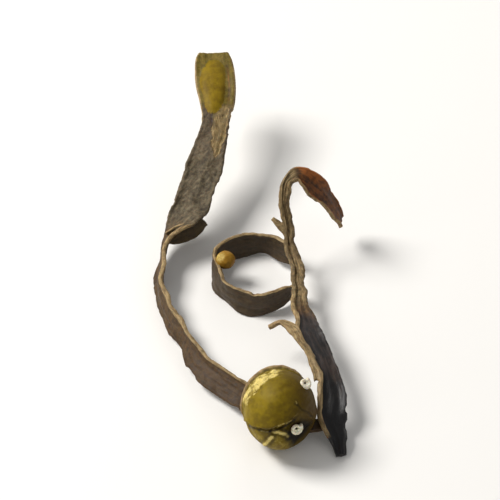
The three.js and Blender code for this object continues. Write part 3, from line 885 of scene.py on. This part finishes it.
def frond(materials):
    """The whole frond: its blades and bladders joined into one closed body."""
    strap = blade("frond_skin", STRAP, 0.0, 100, paint_strap,
                  margin_bead=0.08, fibres=0.04, pucker=0.08, lip_bead=0.1)
    parts = [
        blade("ribbon", RIBBON, 1.1, 200, paint_ribbon,
              margin_bead=0.08, fibres=0.04, pucker=0.12, grain=0.035),
        blade("loop", LOOP, 2.3, 300, paint_loop, margin_bead=0.07, fibres=0.03, pucker=0.12),
        blade("corner", CORNER_FOLD, 0.2, 400, paint_corner),
        blade("torn_flap", TORN_FLAP, 0.4, 500, paint_scrap),
        blade("spur", SPUR, 0.9, 600, paint_scrap),
        bladder(),
        small_bladder("tip_bladder", TIP_BLADDER_CENTRE, TIP_BLADDER_RADII, TIP_BLADDER_CELLS, 700,
                      amber=0.15, taper=TIP_BLADDER_TAPER, tilt_degrees=TIP_BLADDER_TILT_DEGREES),
        small_bladder("bud", BUD_CENTRE, BUD_RADII, BUD_CELLS, 800, amber=1.0),
        rim(),
    ]
    for part in [strap] + parts:
        face_out(part)
        for material in materials:
            part.data.materials.append(material)
        skin = 1 if "bladder" in part.name or part.name == "bud" else 0
        skins = np.full(len(part.data.polygons), skin, dtype=np.int32)
        part.data.polygons.foreach_set("material_index", skins)
        write_value(part.data, "known", 1.0)
    for part in parts:
        join_with(strap, part, "UNION")
    soften_joins(strap)
    join_with(strap, block("below", UNDER_LOW, UNDER_HIGH), "DIFFERENCE")
    strap.data.attributes.remove(strap.data.attributes["known"])
    shade_smooth(strap)
    return strap


# Finishes

def srgb(red, green, blue):
    """A colour given as 0 to 255 on screen, turned linear."""
    return tuple((v / 255 / 12.92) if v / 255 <= 0.04045 else ((v / 255 + 0.055) / 1.055) ** 2.4
                 for v in (red, green, blue)) + (1.0,)


class Wire:
    """One output socket of a material. Python's operators on it add Math nodes."""

    def __init__(self, finish, socket):
        self.finish = finish
        self.socket = socket

    def maths(self, operation, *values):
        """A Math node fed with wires and numbers."""
        return self.finish.node("ShaderNodeMath", {"operation": operation}, dict(enumerate(values)))

    def __add__(self, other):
        return self.maths("ADD", self, other)

    def __sub__(self, other):
        return self.maths("SUBTRACT", self, other)

    def __rsub__(self, other):
        return self.maths("SUBTRACT", other, self)

    def __mul__(self, other):
        return self.maths("MULTIPLY", self, other)

    __radd__ = __add__
    __rmul__ = __mul__

    def held(self):
        """The value kept from 0 to 1."""
        return self.finish.node("ShaderNodeClamp", {}, {"Value": self})

    def step(self, low, high):
        """0 below low, 1 above high and a smooth S between."""
        return self.finish.node("ShaderNodeMapRange", {"interpolation_type": "SMOOTHSTEP"},
                                {"Value": self, "From Min": low, "From Max": high}, "Result")


class Finish:
    """A material and the one method that adds any node to it."""

    def __init__(self, name, **constants):
        self.material = bpy.data.materials.new(name)
        self.material.use_nodes = True
        self.tree = self.material.node_tree
        self.tree.nodes.clear()
        self.shader = self.tree.nodes.new("ShaderNodeBsdfPrincipled")
        output = self.tree.nodes.new("ShaderNodeOutputMaterial")
        self.tree.links.new(self.shader.outputs["BSDF"], output.inputs["Surface"])
        for socket, value in constants.items():
            self.shader.inputs[socket.replace("_", " ")].default_value = value

    def plug(self, socket, value):
        """Feeds an input with a wire, or sets it to a constant."""
        if isinstance(value, Wire):
            self.tree.links.new(value.socket, socket)
        else:
            socket.default_value = value

    def node(self, kind, settings, values, output=0):
        """Adds a node with its settings and inputs, and gives one of its outputs."""
        made = self.tree.nodes.new(kind)
        for key, value in settings.items():
            setattr(made, key, value)
        for key, value in values.items():
            self.plug(made.inputs[key], value)
        return Wire(self, made.outputs[output])

    def surface(self, **values):
        """Feeds the shader's own inputs, and gives the finished material."""
        for socket, value in values.items():
            self.plug(self.shader.inputs[socket.replace("_", " ")], value)
        return self.material

    def value_of(self, name):
        """A value that the mesh keeps for each point."""
        return self.node("ShaderNodeAttribute", {"attribute_name": name}, {}, "Fac")

    def millimetres(self):
        """The place on the piece, in millimetres."""
        metres = self.node("ShaderNodeTexCoord", {}, {}, "Object")
        values = {0: metres, "Scale": 1 / MM}
        return self.node("ShaderNodeVectorMath", {"operation": "SCALE"}, values, "Vector")

    def vector(self, x, y, z):
        """Three values as one vector."""
        return self.node("ShaderNodeCombineXYZ", {}, {"X": x, "Y": y, "Z": z}, "Vector")

    def stretched(self, vector, amounts):
        """A vector with each of its parts multiplied."""
        values = {0: vector, 1: amounts}
        return self.node("ShaderNodeVectorMath", {"operation": "MULTIPLY"}, values, "Vector")

    def noise(self, vector, scale, detail=3.0, roughness=0.55, distortion=0.0):
        """Clouds from 0 to 1, as many to a unit of length as the scale says."""
        values = {"Vector": vector, "Scale": scale, "Detail": detail, "Roughness": roughness,
                  "Distortion": distortion}
        return self.node("ShaderNodeTexNoise", {}, values, "Fac")

    def cells(self, vector, scale):
        """Distance to the nearest of many scattered points."""
        return self.node("ShaderNodeTexVoronoi", {}, {"Vector": vector, "Scale": scale}, "Distance")

    def colours(self, share, first, second):
        """Colour between first and second by share."""
        return self.node("ShaderNodeMix", {"data_type": "RGBA"}, {0: share, 6: first, 7: second}, 2)

    def bump(self, height, depth, strength):
        """Low relief, with its depth in millimetres."""
        values = {"Height": height, "Distance": depth * MM, "Strength": strength}
        return self.node("ShaderNodeBump", {}, values, "Normal")


def dried_blade():
    """The dried blade: umber to purple black, bleached margins, fibres along its run, salt dust, a painted
    highlight on the grey blade's crease ridges and painted shade that deepens the black at the strap's base.
    """
    finish = Finish("dried_blade", Subsurface_Weight=0.08, Subsurface_Scale=0.6 * MM,
                    Specular_IOR_Level=0.26, Coat_Roughness=0.4)
    mm = finish.millimetres()
    values = (finish.value_of(name) for name in VALUE_NAMES)
    across, along, upper, wide, dark, rust_and_painted_light, grey, olive, pale = values
    aside = across * wide * 0.5
    flow = finish.vector(aside, along, upper * 9.0)
    slanting = finish.vector(aside - along * 0.4, along, upper * 9.0)

    cloud = finish.noise(mm, 0.42, 3)
    mottle = finish.noise(mm, 1.7, 4, 0.62)
    grain = finish.noise(mm, 7.5, 4, 0.65)
    fibre = finish.noise(finish.stretched(flow, (3.4, 0.42, 1.0)), 1.0, 4, 0.6, 0.4)
    fine_fibre = finish.noise(finish.stretched(flow, (9.0, 0.9, 1.0)), 1.0, 3, 0.6, 0.3)
    clumps = finish.noise(mm, 2.4, 3, 0.6)
    pits = finish.cells(mm, 2.3)
    crease = finish.noise(finish.stretched(slanting, (1.3, 0.45, 1.0)), 1.0, 3, 0.55, 1.4)

    umber = finish.colours((mottle * 0.7 + fibre * 0.5).step(0.42, 0.78), srgb(34, 21, 9), srgb(102, 72, 36))
    # Dark above 1 deepens the black further: painted shade at the strap's base
    black = finish.colours((fibre * 0.6 + cloud * 0.5 - (dark - 1) * 0.7).step(0.42, 0.72),
                           srgb(14, 12, 12), srgb(56, 45, 39))
    stone = finish.colours((grain * 0.15 + clumps * 0.4 + crease * 0.4 + cloud * 0.15).step(0.38, 0.7),
                           srgb(54, 46, 34), srgb(106, 94, 72))
    # Paler tops of the crease ridges on the grey blade: a painted highlight
    stone = finish.colours((crease * 0.7 + clumps * 0.3).step(0.54, 0.66) * 0.35, stone, srgb(134, 121, 97))
    brown = finish.colours((mottle * 0.6 + fibre * 0.5 + (rust_and_painted_light - 0.75) * 1.2).step(0.35, 0.8),
                           srgb(52, 28, 11), srgb(142, 82, 34))
    green = finish.colours((mottle * 0.6 + grain * 0.4).step(0.36, 0.68),
                           srgb(84, 71, 18), srgb(122, 103, 36))
    straw = finish.colours((fine_fibre * 0.7 + mottle * 0.4).step(0.35, 0.75),
                           srgb(90, 70, 42), srgb(171, 147, 104))

    broken = mottle - 0.5
    colour = finish.colours((dark + broken * 0.5).held(), umber, black)
    colour = finish.colours((grey + broken * 0.4 * grey).held(), colour, stone)
    colour = finish.colours((rust_and_painted_light + broken * 0.7 * rust_and_painted_light).held(), colour, brown)
    colour = finish.colours((olive * (1.0 + broken * 0.5)).held(), colour, green)
    bleached = (pale * (1.15 + (fine_fibre - 0.5) * 1.1 + broken * 0.6)).step(0.25, 0.85)
    colour = finish.colours(bleached, colour, straw)
    dusty = finish.noise(mm, 1.1, 2).step(0.48, 0.62) * (0.3 + 0.35 * grey - 0.3 * olive).held()
    dust = finish.noise(mm, 16.0, 2, 0.5).step(0.66, 0.74) * dusty
    colour = finish.colours(dust, colour, srgb(160, 150, 132))

    roughness = 0.5 + 0.22 * mottle + 0.12 * grey + 0.1 * bleached - 0.1 * dark
    height = fibre * 0.5 + fine_fibre * 0.35 + grain * 0.3 - (1 - pits.step(0.05, 0.3)) * 0.12
    height = height + (clumps * 0.6 + crease * 1.4) * grey
    return finish.surface(Base_Color=colour, Roughness=roughness.held(),
                          Coat_Weight=(dark - 0.7).held() * 0.35,
                          Normal=finish.bump(height, 0.12, 0.75))


def air_bladder():
    """The air bladder's skin: smooth olive with painted shade browning it to the right, a pale papery edge
    with a painted highlight on it, painted shade in its hollows, and fine dots.
    """
    finish = Finish("air_bladder", Subsurface_Weight=0.2, Subsurface_Scale=0.8 * MM, Specular_IOR_Level=0.15)
    finish.shader.inputs["Subsurface Radius"].default_value = (1.0, 0.75, 0.2)
    mm = finish.millimetres()
    dark, rust_and_painted_light, amber, pale = (finish.value_of(name) for name in ("dark", "rust_and_painted_light", "grey", "pale"))
    cloud = finish.noise(mm, 0.35, 3)
    mottle = finish.noise(mm, 1.4, 4, 0.6)
    grain = finish.noise(mm, 6.0, 4, 0.65)
    dots = 1 - finish.cells(mm, 1.9).step(0.06, 0.16)

    skin = finish.colours((cloud * 0.6 + mottle * 0.5).step(0.38, 0.7), srgb(96, 78, 0), srgb(126, 106, 6))
    # Painted shade: browner on the side turned away from the light
    skin = finish.colours((rust_and_painted_light * (0.8 + (cloud - 0.5) * 0.8)).held(), skin, srgb(62, 40, 4))
    skin = finish.colours((amber * (0.6 + mottle * 0.6)).held(), skin, srgb(144, 104, 30))
    # Pale papery skin and pale fold edges, with painted highlights and painted light on the lobe
    papery = (pale * (1.0 + (grain - 0.5) * 2.0 + (mottle - 0.5) * 1.6)).step(0.25, 0.95)
    skin = finish.colours(papery, skin, srgb(206, 186, 112))
    skin = finish.colours(dots * 0.15, skin, srgb(50, 36, 6))
    # Painted shade in the dent, the crease, the wrinkles and at the tip bladder's foot
    skin = finish.colours(dark.held(), skin, srgb(20, 13, 5))

    roughness = 0.5 + 0.12 * mottle + 0.15 * papery
    height = mottle * 0.5 + grain * 0.22 - dots * 0.15
    return finish.surface(Base_Color=skin, Roughness=roughness.held(),
                          Normal=finish.bump(height, 0.09, 0.6))


def worm_shell_chalk():
    """Chalky white shell, a little yellow in its growth lines."""
    finish = Finish("worm_shell", Subsurface_Weight=0.15, Subsurface_Scale=0.4 * MM)
    mm = finish.millimetres()
    grain = finish.noise(mm, 4.0, 3)
    colour = finish.colours(grain.step(0.35, 0.65), srgb(206, 196, 164), srgb(240, 234, 214))
    return finish.surface(Base_Color=colour, Roughness=0.5 + 0.2 * grain,
                          Normal=finish.bump(grain, 0.03, 0.4))


def plain(name, colour, roughness):
    """An even material for the floor."""
    finish = Finish(name)
    return finish.surface(Base_Color=colour, Roughness=roughness)


# The stage

# The camera: its angle above the ground, the point it faces, how far off it stands and how much it takes in
# there, all lengths in metres, and its sensor in millimetres
VIEW_ELEVATION = math.radians(45)
VIEW_TARGET = Vector((0.0, 0.0021, 0.004))
VIEW_DISTANCE = 0.9
VIEW_HEIGHT = 0.0615
SENSOR = 36.0
CLIP_START = 0.01

# The floor and the even light from all round
FLOOR_HALF = 1.5
FLOOR_ROUGHNESS = 0.7
SKY_STRENGTH = 0.3

# Each lamp's place, size, power and colour
LAMPS = {
    "key": ((-0.32, 0.1, 0.38), 0.2, 3.0, (1.0, 0.985, 0.965)),
    "side": ((-0.4, -0.3, 0.15), 0.3, 0.35, (1.0, 0.96, 0.9)),
    "fill": ((0.4, -0.3, 0.35), 0.4, 0.3, (0.96, 0.98, 1.0)),
    "back": ((0.1, 0.5, 0.3), 0.3, 0.4, (1.0, 1.0, 1.0)),
}


def stage():
    """A pale floor, the camera at the photograph's angle, and soft studio light from the upper left."""
    scene = bpy.context.scene
    floor_mesh = bpy.data.meshes.new("floor")
    signs = [(-1, -1), (1, -1), (1, 1), (-1, 1)]
    corners = [(x * FLOOR_HALF, y * FLOOR_HALF, 0) for x, y in signs]
    floor_mesh.from_pydata(corners, [], [(0, 1, 2, 3)])
    floor = bpy.data.objects.new("floor", floor_mesh)
    floor_mesh.materials.append(plain("pale_floor", srgb(236, 234, 230), FLOOR_ROUGHNESS))
    scene.collection.objects.link(floor)

    camera = bpy.data.objects.new("camera", bpy.data.cameras.new("camera"))
    camera.data.lens = SENSOR * VIEW_DISTANCE / VIEW_HEIGHT
    camera.data.sensor_width = SENSOR
    camera.data.clip_start = CLIP_START
    back = Vector((0, -math.cos(VIEW_ELEVATION), math.sin(VIEW_ELEVATION)))
    camera.location = VIEW_TARGET + VIEW_DISTANCE * back
    camera.rotation_euler = (math.pi / 2 - VIEW_ELEVATION, 0, 0)
    scene.collection.objects.link(camera)
    scene.camera = camera

    for name, (place, size, power, tint) in LAMPS.items():
        light = bpy.data.lights.new(name, "AREA")
        light.size = size
        light.energy = power
        light.color = tint
        lamp = bpy.data.objects.new(name, light)
        lamp.location = place
        lamp.rotation_euler = (VIEW_TARGET - Vector(place)).to_track_quat("-Z", "Y").to_euler()
        scene.collection.objects.link(lamp)

    world = bpy.data.worlds.new("studio")
    world.use_nodes = True
    sky = world.node_tree.nodes["Background"]
    sky.inputs["Color"].default_value = (1.0, 1.0, 1.0, 1.0)
    sky.inputs["Strength"].default_value = SKY_STRENGTH
    scene.world = world
    scene.view_settings.view_transform = "Standard"


def dress():
    """Builds every piece, gives it its finish and sets it on the frame."""
    materials = [dried_blade(), air_bladder()]
    body = frond(materials)
    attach(body, "root")
    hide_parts("frond")
    chalk = worm_shell_chalk()
    for number, shell in enumerate(SHELLS, 1):
        piece = worm_shell(f"worm_shell_{number}", shell["at"], shell["faces"])
        piece.data.materials.append(chalk)
        shade_smooth(piece)
        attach(piece, "root")


stage()
dress()
